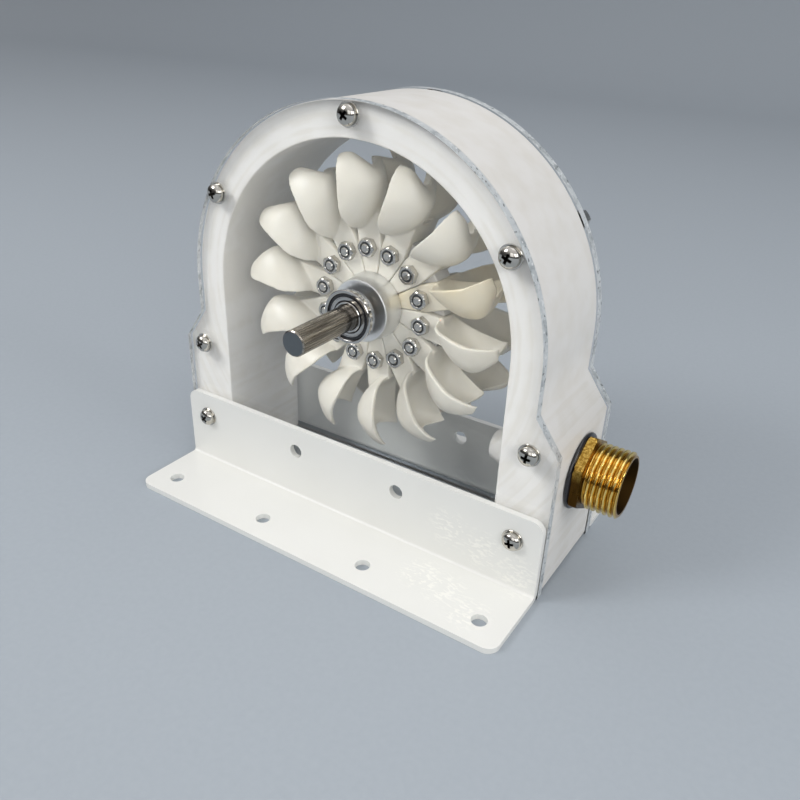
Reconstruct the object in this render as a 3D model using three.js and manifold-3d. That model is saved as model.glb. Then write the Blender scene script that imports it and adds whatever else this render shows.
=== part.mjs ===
// Model Pelton wheel: a bucket runner on a shaft in an arch-shaped housing.
// Millimetres, +Z up. The shaft runs along Y and its free end points to -Y.
// The water inlet is on the +X side. The foot stands on Z = 0.

import * as THREE from 'three';
import { mergeVertices } from 'three/addons/utils/BufferGeometryUtils.js';
import { LoftGeometry } from 'three/addons/geometries/LoftGeometry.js';
import Module from 'manifold-3d';

const wasm = await Module();
wasm.setup();

// Whole machine
const CENTRE_X = -7.5;
const SHAFT_Z = 75;
const GAP = 0.1;

// Housing frame and clear plates
const PLATE_IN = 18.5;
const PLATE_THICK = 3;
const PLATE_OUT = PLATE_IN + PLATE_THICK;
const PLATE_HALF_FOOT = 72.5;
const PLATE_RADIUS = 64.5;
const ARCH_Z = 73;
const SHOULDER_Z = 61;
const FOOT_Z = 50;
const FRAME_INSET = 0.3;
const FRAME_BOTTOM = 0.9;
const CHAMBER_RADIUS = 54;
const ARCH_SEGMENTS = 40;
const PLATE_BORE = 8.1;

// Angle brackets
const BRACKET_HALF = 72.3;
const BRACKET_LEG = 29;
const BRACKET_THICK = 2;
const BEND_OUTER = 3;
const BEND_INNER = 1;
const BRACKET_CORNER = 4;
const BRACKET_HOLE = 2.5;
const BRACKET_HOLES_X = [-63, -21, 21, 63];
const BRACKET_HOLE_FROM_HEEL = 20;

// Inlet
const INLET_Z = 36;
const SHANK_RADIUS = 7.8;
const SEAL_RADIUS = 12.3;
const SEAL_FROM = 72.3;
const SEAL_TO = 73.6;
const SEAL_ROUND = 0.4;
const HEX_CORNER = 11.9;
const HEX_FROM = 73.7;
const HEX_TO = 76.4;
const THREAD_END = 87.5;
const THREAD_MAJOR = 10.48;
const THREAD_MINOR = 9.32;
const THREAD_PITCH = 1.814;
const INLET_BORE = 7.4;
const NOZZLE_TIP_X = 44;
const NOZZLE_BORE = 3.2;
const NOZZLE_WALL = 1.6;
const NOZZLE_TAPER_X = 55;
const BORE_TAPER_FROM = 50;
const BORE_TAPER_TO = 60;

// Shaft, bearings and hubs
const SHAFT_RADIUS = 4;
const SHAFT_FRONT = -47.5;
const SHAFT_BACK = 23.5;
const SHAFT_CHAMFER = 0.4;
const BEARING_OUTER = 8;
const BEARING_FLANGE = 8.6;
const BEARING_FACE = 22.2;
const BEARING_END = 17.2;
const OUTER_RING_BORE = 7.5;
const SHIELD_OUTER = 7.4;
const SHIELD_INNER = 5;
const SHIELD_SET_BACK = 0.3;
const INNER_RING_RADIUS = 4.9;
const HUB_BASE_RADIUS = 10.9;
const HUB_RADIUS = 10.1;
const HUB_FROM = 7;
const HUB_TO = 14.3;
const HUB_CHAMFER = 0.3;

// Runner
const DISC_RADIUS = 24.2;
const DISC_HALF = 4;
const BOSS_RADIUS = 7.9;
const BOSS_HALF = 6.8;
const BUCKETS = 14;
const FIRST_BUCKET = 95.66;
const TAB_INNER = 8.1;
const TAB_FROM = 4.1;
const TAB_TO = 6.8;
const TAB_HALF_WIDTH = 4.35;
const TAB_OUTER = 25.2;
const LIP = 1.7;

// Bucket stations from the root to the tip, radial, lateral and tangential.
// rim, floor and ridge are radial places of that line; half is the lateral half width.
// top, ridgeTop, bowl, back and valley are tangential heights.
// full and cup are how round the back and the bowl are; bend is how the radial place turns to the rim.
const STATIONS = [
  [24.0, 24.0, 24.0, 7.0, 4.3, 4.3, 4.3, 3.2, 3.2, 0.5, 0.95, 2.4],
  [25.0, 25.0, 25.0, 11.0, 3.6, 3.9, 3.5, 1.2, 1.3, 0.55, 0.95, 2.4],
  [27.0, 27.0, 27.0, 13.8, 3.6, 3.4, 1.8, -1.0, -1.0, 0.65, 0.95, 2.4],
  [30.2, 30.0, 30.1, 15.6, 3.8, 2.7, -1.9, -3.9, -2.7, 0.8, 0.95, 2.4],
  [34.6, 34.0, 34.2, 16.5, 3.7, 2.1, -4.4, -6.3, -3.4, 0.9, 0.95, 2.4],
  [38.8, 37.7, 38.5, 16.5, 3.6, 2.0, -5.3, -7.2, -3.1, 0.94, 0.94, 2.4],
  [42.4, 40.2, 41.6, 15.7, 4.1, 2.0, -4.9, -6.9, -2.6, 0.92, 0.92, 2.2],
  [45.6, 42.2, 43.6, 14.4, 4.7, 2.1, -3.4, -5.4, -1.8, 0.8, 0.8, 1.8],
  [47.8, 43.2, 44.8, 12.8, 5.2, 2.2, -1.6, -2.9, -0.4, 0.6, 0.6, 1.6],
].map(([rim, floor, ridge, half, top, ridgeTop, bowl, back, valley, full, cup, bend]) => (
  { rim, floor, ridge, half, top, ridgeTop, bowl, back, valley, full, cup, bend }));
const BOWL_CENTRE = 0.49;
const BACK_CENTRE = 0.52;

// Side outline of the solid neck between the fork and the cups, radial and tangential
const NECK_OUTLINE = [
  [24.5, 4.35],
  [24.5, -4.35],
  [31, -4.35],
  [30, -3],
  [28, -0.4],
  [26.8, 1.6],
  [25.3, 4.35],
];

// Materials
const plastic = new THREE.MeshStandardMaterial({ color: 0xe8e6e1, roughness: 0.45, metalness: 0 });
const bucketPlastic = new THREE.MeshStandardMaterial({ color: 0xefe8da, roughness: 0.4, metalness: 0 });
const clearSheet = new THREE.MeshStandardMaterial({
  color: 0xdfe8ea, roughness: 0.08, metalness: 0, transparent: true, opacity: 0.35,
});
const paintedSteel = new THREE.MeshStandardMaterial({ color: 0xe9e7e3, roughness: 0.5, metalness: 0 });
const steel = new THREE.MeshStandardMaterial({ color: 0xb9bcc0, roughness: 0.25, metalness: 1 });
const aluminium = new THREE.MeshStandardMaterial({ color: 0xd0d1d0, roughness: 0.3, metalness: 1 });
const darkSteel = new THREE.MeshStandardMaterial({ color: 0x8f949b, roughness: 0.3, metalness: 1 });
const brass = new THREE.MeshStandardMaterial({ color: 0xd9a441, roughness: 0.3, metalness: 1 });
const rubber = new THREE.MeshStandardMaterial({ color: 0x202022, roughness: 0.5, metalness: 0 });

// Closed solid from a geometry, and the way back
function solidOf(geometry) {
  const bare = new THREE.BufferGeometry();
  bare.setAttribute('position', geometry.getAttribute('position'));
  bare.setIndex(geometry.getIndex());
  const merged = mergeVertices(bare, 1e-4);
  const index = merged.index.array;
  const keep = [];
  for (let i = 0; i < index.length; i += 3) {
    const [a, b, c] = [index[i], index[i + 1], index[i + 2]];
    if (a !== b && b !== c && a !== c) keep.push(a, b, c);
  }
  return new wasm.Manifold(new wasm.Mesh({
    numProp: 3,
    vertProperties: new Float32Array(merged.attributes.position.array),
    triVerts: new Uint32Array(keep),
  }));
}

function geometryOf(solid) {
  const mesh = solid.getMesh();
  const geometry = new THREE.BufferGeometry();
  geometry.setAttribute('position', new THREE.BufferAttribute(new Float32Array(mesh.vertProperties), 3));
  geometry.setIndex(new THREE.BufferAttribute(new Uint32Array(mesh.triVerts), 1));
  geometry.computeVertexNormals();
  return geometry;
}

// Ring or disc turned about the Y axis; the profile is [radius, along] and goes outside upwards
function turned(profile, segments) {
  const points = profile.map(([r, y]) => new THREE.Vector2(r, y));
  points.push(points[0].clone());
  return new THREE.LatheGeometry(points, segments);
}

// Outline in X and Z, pulled along Y from `from` to `to`
function slab(points, from, to) {
  const shape = new THREE.Shape(points.map(([x, z]) => new THREE.Vector2(x, z)));
  const geometry = new THREE.ExtrudeGeometry(shape, { depth: to - from, bevelEnabled: false });
  geometry.rotateX(Math.PI / 2);
  geometry.translate(0, to, 0);
  return geometry;
}

function rod(radius, segments, from, to, along) {
  const geometry = new THREE.CylinderGeometry(radius, radius, to - from, segments);
  geometry.translate(0, (from + to) / 2, 0);
  if (along === 'x') geometry.rotateZ(-Math.PI / 2);
  if (along === 'z') geometry.rotateX(Math.PI / 2);
  return geometry;
}

function arch(radius, fromAngle, toAngle) {
  const points = [];
  for (let i = 0; i <= ARCH_SEGMENTS; i += 1) {
    const angle = fromAngle + (toAngle - fromAngle) * i / ARCH_SEGMENTS;
    points.push([radius * Math.cos(angle), ARCH_Z + radius * Math.sin(angle)]);
  }
  return points;
}

function outline(inset, bottom) {
  const half = PLATE_HALF_FOOT - inset;
  const radius = PLATE_RADIUS - inset;
  return [
    [half, bottom],
    [half, FOOT_Z],
    [radius, SHOULDER_Z],
    ...arch(radius, 0, Math.PI),
    [-radius, SHOULDER_Z],
    [-half, FOOT_Z],
    [-half, bottom],
  ];
}

const wheel = new THREE.Group();
const housing = new THREE.Group();
const rotor = new THREE.Group();
housing.position.set(CENTRE_X, 0, 0);
rotor.position.set(CENTRE_X, 0, SHAFT_Z);
wheel.add(housing, rotor);

function place(group, name, geometry, material) {
  const mesh = new THREE.Mesh(geometry, material);
  mesh.name = name;
  group.add(mesh);
  return mesh;
}

// Housing frame: the arch wall with the inlet bore
const frameOutline = [
  ...outline(FRAME_INSET, FRAME_BOTTOM),
  [-CHAMBER_RADIUS, FRAME_BOTTOM],
  ...arch(CHAMBER_RADIUS, Math.PI, 0),
  [CHAMBER_RADIUS, FRAME_BOTTOM],
];
const wallBore = rod(SHANK_RADIUS + GAP, 32, CHAMBER_RADIUS - 2, PLATE_HALF_FOOT + 1, 'x');
wallBore.translate(0, 0, INLET_Z);
const frame = solidOf(slab(frameOutline, -PLATE_IN + GAP, PLATE_IN - GAP)).subtract(solidOf(wallBore));
place(housing, 'housing_frame', geometryOf(frame), plastic);

// Clear plates with the bearing hole
const plateBore = rod(PLATE_BORE, 36, PLATE_IN - 1, PLATE_OUT + 1, 'y');
plateBore.translate(0, 0, SHAFT_Z);
const plate = solidOf(slab(outline(0, 0), PLATE_IN, PLATE_OUT)).subtract(solidOf(plateBore));
place(housing, 'back_plate', geometryOf(plate), clearSheet);
place(housing, 'front_plate', geometryOf(plate.mirror([0, 1, 0])), clearSheet);

// Angle brackets: bent section, rounded free corners, round holes
function bend(radius, centre, fromAngle, toAngle) {
  const points = [];
  for (let i = 0; i <= 4; i += 1) {
    const angle = fromAngle + (toAngle - fromAngle) * i / 4;
    points.push([centre + radius * Math.cos(angle), centre + radius * Math.sin(angle)]);
  }
  return points;
}

function roundedEnd(nearEdge, farEdge) {
  const points = [[-BRACKET_HALF, nearEdge], [BRACKET_HALF, nearEdge]];
  const centre = BRACKET_HALF - BRACKET_CORNER;
  const level = farEdge - BRACKET_CORNER;
  for (const [side, start] of [[1, 0], [-1, Math.PI / 2]]) {
    for (let i = 0; i <= 4; i += 1) {
      const angle = start + i / 4 * Math.PI / 2;
      const across = side * centre + BRACKET_CORNER * Math.cos(angle);
      points.push([across, level + BRACKET_CORNER * Math.sin(angle)]);
    }
  }
  return points;
}

// Section in the heel frame: first value away from the plate, second value up
const section = [
  ...bend(BEND_OUTER, BEND_OUTER, Math.PI, Math.PI * 1.5),
  [BRACKET_LEG, 0],
  [BRACKET_LEG, BRACKET_THICK],
  ...bend(BEND_INNER, BEND_INNER + BRACKET_THICK, Math.PI * 1.5, Math.PI),
  [BRACKET_THICK, BRACKET_LEG],
  [0, BRACKET_LEG],
];
const angleShape = new THREE.Shape(section.map(([a, b]) => new THREE.Vector2(a, b)));
const angleBar = new THREE.ExtrudeGeometry(angleShape, { depth: 2 * BRACKET_HALF, bevelEnabled: false });
angleBar.translate(0, 0, -BRACKET_HALF);
angleBar.rotateX(Math.PI / 2);
angleBar.rotateZ(Math.PI / 2);
const uprightLimit = slab(roundedEnd(-1, BRACKET_LEG), -1, BRACKET_LEG + 1);
const flatLimit = new THREE.ExtrudeGeometry(
  new THREE.Shape(roundedEnd(-1, BRACKET_LEG).map(([x, y]) => new THREE.Vector2(x, y))),
  { depth: BRACKET_LEG + 2, bevelEnabled: false },
);
flatLimit.translate(0, 0, -1);
let bracket = solidOf(angleBar).intersect(solidOf(uprightLimit)).intersect(solidOf(flatLimit));
for (const x of BRACKET_HOLES_X) {
  const upright = rod(BRACKET_HOLE, 16, -1, BRACKET_THICK + 1, 'y');
  const flat = rod(BRACKET_HOLE, 16, -1, BRACKET_THICK + 1, 'z');
  upright.translate(x, 0, BRACKET_HOLE_FROM_HEEL);
  flat.translate(x, BRACKET_HOLE_FROM_HEEL, 0);
  bracket = bracket.subtract(solidOf(upright)).subtract(solidOf(flat));
}
const backBracket = bracket.translate([0, PLATE_OUT + GAP, 0]);
place(housing, 'back_bracket', geometryOf(backBracket), paintedSteel);
place(housing, 'front_bracket', geometryOf(backBracket.mirror([0, 1, 0])), paintedSteel);

// Inlet fitting: nozzle, shank, hexagon and pipe thread with a through bore
const fittingProfile = [
  [NOZZLE_BORE, NOZZLE_TIP_X],
  [NOZZLE_BORE + NOZZLE_WALL, NOZZLE_TIP_X],
  [SHANK_RADIUS, NOZZLE_TAPER_X],
  [SHANK_RADIUS, HEX_FROM + 1],
  [SHANK_RADIUS, HEX_TO],
  [THREAD_MINOR, HEX_TO],
];
const crests = Math.floor((THREAD_END - HEX_TO) / THREAD_PITCH);
const threadStart = THREAD_END - crests * THREAD_PITCH;
for (let i = 0; i < crests; i += 1) {
  const at = threadStart + i * THREAD_PITCH;
  fittingProfile.push([THREAD_MINOR, at]);
  fittingProfile.push([THREAD_MAJOR, at + THREAD_PITCH * 0.4]);
  fittingProfile.push([THREAD_MAJOR, at + THREAD_PITCH * 0.6]);
}
fittingProfile.push(
  [THREAD_MINOR, THREAD_END],
  [INLET_BORE, THREAD_END],
  [INLET_BORE, BORE_TAPER_TO],
  [NOZZLE_BORE, BORE_TAPER_FROM],
);
const fittingBody = turned(fittingProfile, 32);
fittingBody.rotateZ(-Math.PI / 2);
const hexagon = new THREE.CylinderGeometry(HEX_CORNER, HEX_CORNER, HEX_TO - HEX_FROM, 6);
hexagon.translate(0, (HEX_FROM + HEX_TO) / 2, 0);
hexagon.rotateZ(-Math.PI / 2);
const hexBore = rod(SHANK_RADIUS - 0.2, 32, HEX_FROM - 1, HEX_TO + 1, 'x');
const fitting = solidOf(hexagon).subtract(solidOf(hexBore)).add(solidOf(fittingBody));
place(housing, 'inlet_fitting', geometryOf(fitting.translate([0, 0, INLET_Z])), brass);

// Rubber seal squeezed between the hexagon and the wall
const seal = turned([
  [SHANK_RADIUS + GAP, SEAL_FROM],
  [SEAL_RADIUS, SEAL_FROM],
  [SEAL_RADIUS, SEAL_TO - 2 * SEAL_ROUND],
  [SEAL_RADIUS - SEAL_ROUND, SEAL_TO],
  [SHANK_RADIUS + GAP, SEAL_TO],
], 36);
seal.rotateZ(-Math.PI / 2);
seal.translate(0, 0, INLET_Z);
place(housing, 'inlet_seal', seal, rubber);

// Bearings: fixed ring with flange, shield, turning ring
const outerRing = [
  [OUTER_RING_BORE, BEARING_END],
  [BEARING_OUTER, BEARING_END],
  [BEARING_OUTER, PLATE_OUT + GAP],
  [BEARING_FLANGE, PLATE_OUT + GAP],
  [BEARING_FLANGE, BEARING_FACE],
  [OUTER_RING_BORE, BEARING_FACE],
];
const shield = [
  [SHIELD_INNER, BEARING_END + SHIELD_SET_BACK],
  [SHIELD_OUTER, BEARING_END + SHIELD_SET_BACK],
  [SHIELD_OUTER, BEARING_FACE - SHIELD_SET_BACK],
  [SHIELD_INNER, BEARING_FACE - SHIELD_SET_BACK],
];
const innerRing = [
  [SHAFT_RADIUS + GAP, BEARING_END],
  [INNER_RING_RADIUS, BEARING_END],
  [INNER_RING_RADIUS, BEARING_FACE],
  [SHAFT_RADIUS + GAP, BEARING_FACE],
];
const hubProfile = [
  [SHAFT_RADIUS + GAP, HUB_FROM],
  [HUB_BASE_RADIUS, HUB_FROM],
  [HUB_RADIUS, HUB_TO - HUB_CHAMFER],
  [HUB_RADIUS - HUB_CHAMFER, HUB_TO],
  [SHAFT_RADIUS + GAP, HUB_TO],
];

function pair(group, name, profile, segments, material, height) {
  const back = turned(profile, segments);
  const front = turned(profile.map(([r, y]) => [r, -y]).reverse(), segments);
  place(group, `back_${name}`, back, material).position.z = height;
  place(group, `front_${name}`, front, material).position.z = height;
}

pair(housing, 'bearing_outer_ring', outerRing, 36, steel, SHAFT_Z);
pair(housing, 'bearing_shield', shield, 32, darkSteel, SHAFT_Z);
pair(rotor, 'bearing_inner_ring', innerRing, 32, steel, 0);
pair(rotor, 'hub', hubProfile, 40, aluminium, 0);

// Shaft with chamfered ends
const shaftPoints = [
  [0, SHAFT_FRONT],
  [SHAFT_RADIUS - SHAFT_CHAMFER, SHAFT_FRONT],
  [SHAFT_RADIUS, SHAFT_FRONT + SHAFT_CHAMFER],
  [SHAFT_RADIUS, SHAFT_BACK - SHAFT_CHAMFER],
  [SHAFT_RADIUS - SHAFT_CHAMFER, SHAFT_BACK],
  [0, SHAFT_BACK],
].map(([r, y]) => new THREE.Vector2(r, y));
place(rotor, 'shaft', new THREE.LatheGeometry(shaftPoints, 32), steel);

// Runner disc with its boss
const disc = turned([
  [SHAFT_RADIUS + GAP, -BOSS_HALF],
  [BOSS_RADIUS, -BOSS_HALF],
  [BOSS_RADIUS, -DISC_HALF],
  [DISC_RADIUS, -DISC_HALF],
  [DISC_RADIUS, DISC_HALF],
  [BOSS_RADIUS, DISC_HALF],
  [BOSS_RADIUS, BOSS_HALF],
  [SHAFT_RADIUS + GAP, BOSS_HALF],
], 48);
place(rotor, 'runner_disc', disc, plastic);

// Bucket in its own frame: X radial, Y along the shaft, Z towards the open side
function roundRise(part, full) {
  return (1 - Math.sqrt(1 - (full * part) ** 2)) / (1 - Math.sqrt(1 - full ** 2));
}

function radialAt(station, lateral) {
  const centre = station.half * BOWL_CENTRE;
  if (lateral < centre) {
    return station.floor + (station.ridge - station.floor) * (1 - lateral / centre) ** 1.3;
  }
  const part = (lateral - centre) / (station.half - centre);
  return station.floor + (station.rim - station.floor) * part ** station.bend;
}

function halfRing({ half, top, ridgeTop, bowl, back, valley, full, cup, ...lines }) {
  const points = [];
  const bowlY = half * BOWL_CENTRE;
  const backY = half * BACK_CENTRE;
  const edgeY = half - LIP;
  for (const part of [1, 0.707]) {
    points.push([bowlY * (1 - part), bowl + (ridgeTop - bowl) * roundRise(part, cup)]);
  }
  for (const part of [0, 0.5, 0.866, 1]) {
    points.push([bowlY + (edgeY - bowlY) * part, bowl + (top - bowl) * roundRise(part, cup)]);
  }
  for (const part of [1, 0.866, 0.5, 0]) {
    points.push([backY + (half - backY) * part, back + (top - back) * roundRise(part, full)]);
  }
  for (const part of [0.5, 1]) {
    points.push([backY * (1 - part), back + (valley - back) * part ** 1.7]);
  }
  return points.map(([y, z]) => new THREE.Vector3(radialAt({ half, ...lines }, y), y, z));
}

function ringOf(station) {
  const half = halfRing(station);
  const other = half.slice(1, -1).reverse().map((p) => new THREE.Vector3(p.x, -p.y, p.z));
  return [...half, ...other].reverse();
}

const cups = new LoftGeometry(STATIONS.map(ringOf), { capStart: true, capEnd: true });
const neck = slab(NECK_OUTLINE, -TAB_TO, TAB_TO);

const pitchHalf = Math.PI / BUCKETS;
const wedge = (radial) => Math.min(TAB_HALF_WIDTH, radial * Math.tan(pitchHalf) - GAP / Math.cos(pitchHalf));
const straightFrom = (TAB_HALF_WIDTH + GAP / Math.cos(pitchHalf)) / Math.tan(pitchHalf);
const tabOutline = [
  [TAB_INNER, -wedge(TAB_INNER)],
  [straightFrom, -TAB_HALF_WIDTH],
  [TAB_OUTER, -TAB_HALF_WIDTH],
  [TAB_OUTER, TAB_HALF_WIDTH],
  [straightFrom, TAB_HALF_WIDTH],
  [TAB_INNER, wedge(TAB_INNER)],
];
const tab = solidOf(slab(tabOutline, TAB_FROM, TAB_TO));
const bucketGeometry = geometryOf(
  solidOf(cups).add(solidOf(neck)).add(tab).add(tab.mirror([0, 1, 0])),
);

for (let i = 0; i < BUCKETS; i += 1) {
  const name = `bucket_${String(i + 1).padStart(2, '0')}`;
  const bucket = place(rotor, name, bucketGeometry, bucketPlastic);
  bucket.rotation.y = -(FIRST_BUCKET - i * 360 / BUCKETS) * Math.PI / 180;
}

export default wheel;
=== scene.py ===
"""A model Pelton wheel: white housing, clear plates, bucket runner, steel shaft and brass inlet.

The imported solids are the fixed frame. Each operator builds one piece, or one group of like pieces,
in place of the plain solids. Sizes are in millimetres unless a name or a comment says otherwise.
"""

import math

import bmesh
import bpy
from mathutils import Matrix, Vector


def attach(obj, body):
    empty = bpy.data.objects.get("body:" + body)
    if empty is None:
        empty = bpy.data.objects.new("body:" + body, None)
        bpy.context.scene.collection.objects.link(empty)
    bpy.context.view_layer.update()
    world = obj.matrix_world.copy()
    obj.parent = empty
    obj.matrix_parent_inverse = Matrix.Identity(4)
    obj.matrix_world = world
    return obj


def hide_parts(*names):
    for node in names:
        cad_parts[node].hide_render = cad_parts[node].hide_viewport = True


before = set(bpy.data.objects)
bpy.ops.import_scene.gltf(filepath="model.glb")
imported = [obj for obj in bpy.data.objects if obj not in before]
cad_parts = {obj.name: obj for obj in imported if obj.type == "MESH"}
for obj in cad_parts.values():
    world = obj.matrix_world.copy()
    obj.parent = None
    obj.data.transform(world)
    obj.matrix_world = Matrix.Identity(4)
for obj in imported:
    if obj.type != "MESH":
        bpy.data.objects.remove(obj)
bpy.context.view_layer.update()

bl_info = {
    "name": "Pelton wheel",
    "version": (1, 0, 0),
    "blender": (4, 5, 0),
    "location": "3D View > Sidebar > Pelton",
    "description": "Builds a model Pelton wheel piece by piece",
    "category": "Add Mesh",
}

MM = 0.001
SIDES = ((-1, "front"), (1, "back"))

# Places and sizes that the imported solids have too
CENTRE_X = -7.5
SHAFT_Z = 75.0
SHAFT_LINE = (CENTRE_X, 0, SHAFT_Z)
PLATE_IN, PLATE_OUT = 18.5, 21.5
HALF_FOOT = 72.5
PLATE_RADIUS = 64.5
ARCH_Z = 73.0
SHOULDER_Z = 61.0
FOOT_Z = 50.0
FRAME_INSET, FRAME_BOTTOM = 0.3, 0.9
CHAMBER_RADIUS = 54.0
INLET_Z = 36.0
INLET_LINE = (CENTRE_X, 0, INLET_Z)
BRACKET_HALF, BRACKET_LEG, BRACKET_SHEET = 72.3, 29.0, 2.0
BRACKET_HEEL = PLATE_OUT + 0.1
BRACKET_HOLES_X = (-63.0, -21.0, 21.0, 63.0)
HOLE_FROM_HEEL = 20.0
HEX_FROM, HEX_TO = 73.7, 76.4
THREAD_END = 87.5
THREAD_PITCH = 1.814
BOLT_CIRCLE = 18.6
BUCKETS = 14
FIRST_BUCKET = 95.66
BUCKET_STEP = 360 / BUCKETS

# Sizes that only the scene has, or has in a finer form than the solids
HEX_CORNER = 12.6
HEX_EDGE = ((0.0, 0.6), (0.12, 0.4), (0.3, 0.15))
THREAD_FROM = HEX_TO + 0.3
THREAD_ROOT, THREAD_DEPTH = 9.5, 0.98
THREAD_RINGS = 16
FLANK_FROM, FLANK = 0.26, 0.48
THREAD_START = 0.9
NECK, NECK_BORE, BORE = 7.8, 7.4, 8.4
SCREW_HOLE, BRACKET_HOLE, BEARING_HOLE, INLET_HOLE = 1.7, 2.5, 8.05, 7.9
BEND_OUT, BEND_IN = 3, 1
BRACKET_CORNER = 4
SCREW_PLACES = ((0, 133.7), (-51.9, 104.5), (51.9, 104.5), (-63.9, 49.1), (63.9, 49.1))
BRACKET_SCREWS = ((-63.0, 20.0), (63.0, 20.0))
WASHER_TOP, SPRING_TOP, STEM_END = 0.5, 1.3, 6.4
STEM_RADIUS = 1.45
HEAD_RIM, HEAD_DOME = 0.75, 1.65
CROSS_REACH, CROSS_HALF = 1.95, 0.5
CROSS_TOP, CROSS_FLOOR = 2.9, 0.9
NUT_FLATS = 5.5
NUT_HEIGHT, BOLT_NUT_HEIGHT = 4.0, 2.4
BOLT_HEAD = 5.6
# Degrees from each screw to the next, so that no two stand alike
HEAD_TURN, NUT_TURN, BOLT_TURN = 37, 17, 23
# Spots on the front bracket near which its coat gets pale streaks of painted reflection
COAT_REFLECTION_SPOTS = ((34.0, -23.6, 14.5), (46.0, -23.6, 11.5), (58.0, -23.6, 8.0),
                (31.0, -34.5, 2.0), (40.0, -36.0, 2.0), (51.0, -41.0, 2.0))

# Profiles of turned pieces: a radius and a place along the axis
NOZZLE_PROFILE = ((3.2, 44.2), (3.4, 44.0), (4.3, 44.0), (4.6, 44.2), (7.8, 55.0), (7.8, 59.9),
                  (7.4, 59.9), (3.2, 50.0))
SHAFT_PROFILE = ((0, -47.5), (1.2, -47.5), (3.5, -47.5), (3.62, -47.46), (4.0, -47.08),
                 (4.0, 23.1), (3.6, 23.5), (0, 23.5))
HUB_PROFILE = ((4.05, 7.0), (10.8, 7.0), (10.88, 7.15), (10.15, 13.9), (10.1, 14.1), (9.9, 14.3),
               (5.4, 14.3), (5.2, 14.2), (4.05, 14.2))
DISC_PROFILE = ((4.1, -6.8), (7.7, -6.8), (7.9, -6.6), (7.9, -4.0), (23.9, -4.0), (24.2, -3.7),
                (24.2, 3.7), (23.9, 4.0), (7.9, 4.0), (7.9, 6.6), (7.7, 6.8), (4.1, 6.8))
WASHER_PROFILE = ((1.6, 0.0), (3.4, 0.0), (3.5, 0.1), (3.5, 0.4), (3.4, 0.5), (1.6, 0.5))
BOLT_PROFILE = ((0, -9.6), (1.1, -9.6), (1.42, -9.3), (1.42, 7.0), (0, 7.0))
SEAL_PROFILE = ((7.9, 72.3), (12.0, 72.3), (12.22, 72.5), (12.3, 72.8), (12.15, 73.15),
                (11.8, 73.4), (11.3, 73.6), (7.9, 73.6))
BEARING_PARTS = (
    # piece, the solid it stands for, body, slot, profile
    ("flanged_ring", "bearing_outer_ring", "housing", "polished_steel", (
        (7.5, 17.3), (7.9, 17.2), (8.0, 17.35), (8.0, 21.6), (8.45, 21.6), (8.6, 21.75),
        (8.6, 22.0), (8.4, 22.2), (7.75, 22.2), (7.6, 22.1), (7.5, 21.9))),
    ("bearing_seal", "bearing_shield", "housing", "bearing_shield_steel", (
        (5.0, 17.5), (7.4, 17.5), (7.4, 21.5), (6.45, 21.5), (6.3, 21.7), (5.1, 21.7),
        (5.0, 21.6))),
    ("bearing_shield_rim", None, "housing", "polished_steel", (
        (5.35, 21.7), (6.4, 21.7), (6.45, 21.8), (6.4, 21.9), (6.2, 21.9), (6.1, 21.8),
        (5.5, 21.8), (5.35, 21.78))),
    ("inner_ring", "bearing_inner_ring", "rotor", "polished_steel", (
        (4.02, 17.4), (4.2, 17.2), (4.8, 17.2), (4.9, 17.35), (4.9, 22.05), (4.75, 22.2),
        (4.3, 22.2), (4.02, 21.9))),
)

# Floor and lights in metres, camera in degrees and millimetres
FLOOR_HALF, FLOOR_FRONT, FLOOR_BACK = 3.0, -2.0, 1.2
FLOOR_BEND, FLOOR_TOP = 0.5, 2.5
LAMPS = (
    # name, place, aim, width, share of the main light's power setting
    ("main_light", (-0.72, -0.75, 0.85), (0.0, 0.0, 0.05), 0.45, 0.6),
    ("right_light", (0.9, -0.75, 0.55), (0.0, 0.0, 0.06), 0.5, 0.34),
    ("side_light", (1.25, 0.0, 0.6), (0.0, 0.0, 0.06), 0.5, 0.38),
    ("front_light", (0.3, -1.15, 0.5), (0.0, 0.0, 0.04), 0.6, 0.15),
    ("top_light", (0.15, 0.2, 1.1), (0.0, 0.0, 0.05), 0.7, 0.12),
)
VIEW_LENS = 35.003
VIEW_SIDE, VIEW_RISE, VIEW_ROLL = 32.261, 28.003, 2.255
VIEW_FROM = (132.568 + CENTRE_X, -199.912, 164.786)


def linear(code):
    """Linear colour, with its alpha, from an sRGB hex code."""
    channels = [int(code[i:i + 2], 16) / 255 for i in (1, 3, 5)]
    return (*(c / 12.92 if c <= 0.04045 else ((c + 0.055) / 1.055) ** 2.4 for c in channels), 1.0)


def per(size):
    """Texture scale, in cells per metre, for a pattern of this size in millimetres."""
    return 1000.0 / size


# Nodes and materials


def add(tree, kind, sockets=None, **settings):
    """Adds a shader node, sets it up and links or fills its sockets."""
    node = tree.nodes.new("ShaderNode" + kind)
    for name, value in settings.items():
        setattr(node, name, value)
    for name, value in (sockets or {}).items():
        if isinstance(value, bpy.types.NodeSocket):
            tree.links.new(value, node.inputs[name])
        else:
            node.inputs[name].default_value = value
    return node


def start(name):
    """An empty material of this name, with its tree and its object coordinates."""
    material = bpy.data.materials.get(name) or bpy.data.materials.new(name)
    material.use_nodes = True
    tree = material.node_tree
    tree.nodes.clear()
    return material, tree, add(tree, "TexCoord").outputs["Object"]


def close(material, shader):
    """Ends a material in its shader."""
    add(material.node_tree, "OutputMaterial", {"Surface": shader.outputs[0]})
    return material


def finished(material, colour, rough, sockets):
    """Ends a material in a principled shader."""
    sockets = {"Base Color": colour, "Roughness": rough, **sockets}
    return close(material, add(material.node_tree, "BsdfPrincipled", sockets))


def noise(tree, at, size, detail, **more):
    """Cloudy pattern with spots of this size."""
    sockets = {"Vector": at, "Scale": per(size), "Detail": detail, **more}
    return add(tree, "TexNoise", sockets).outputs["Fac"]


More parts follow.
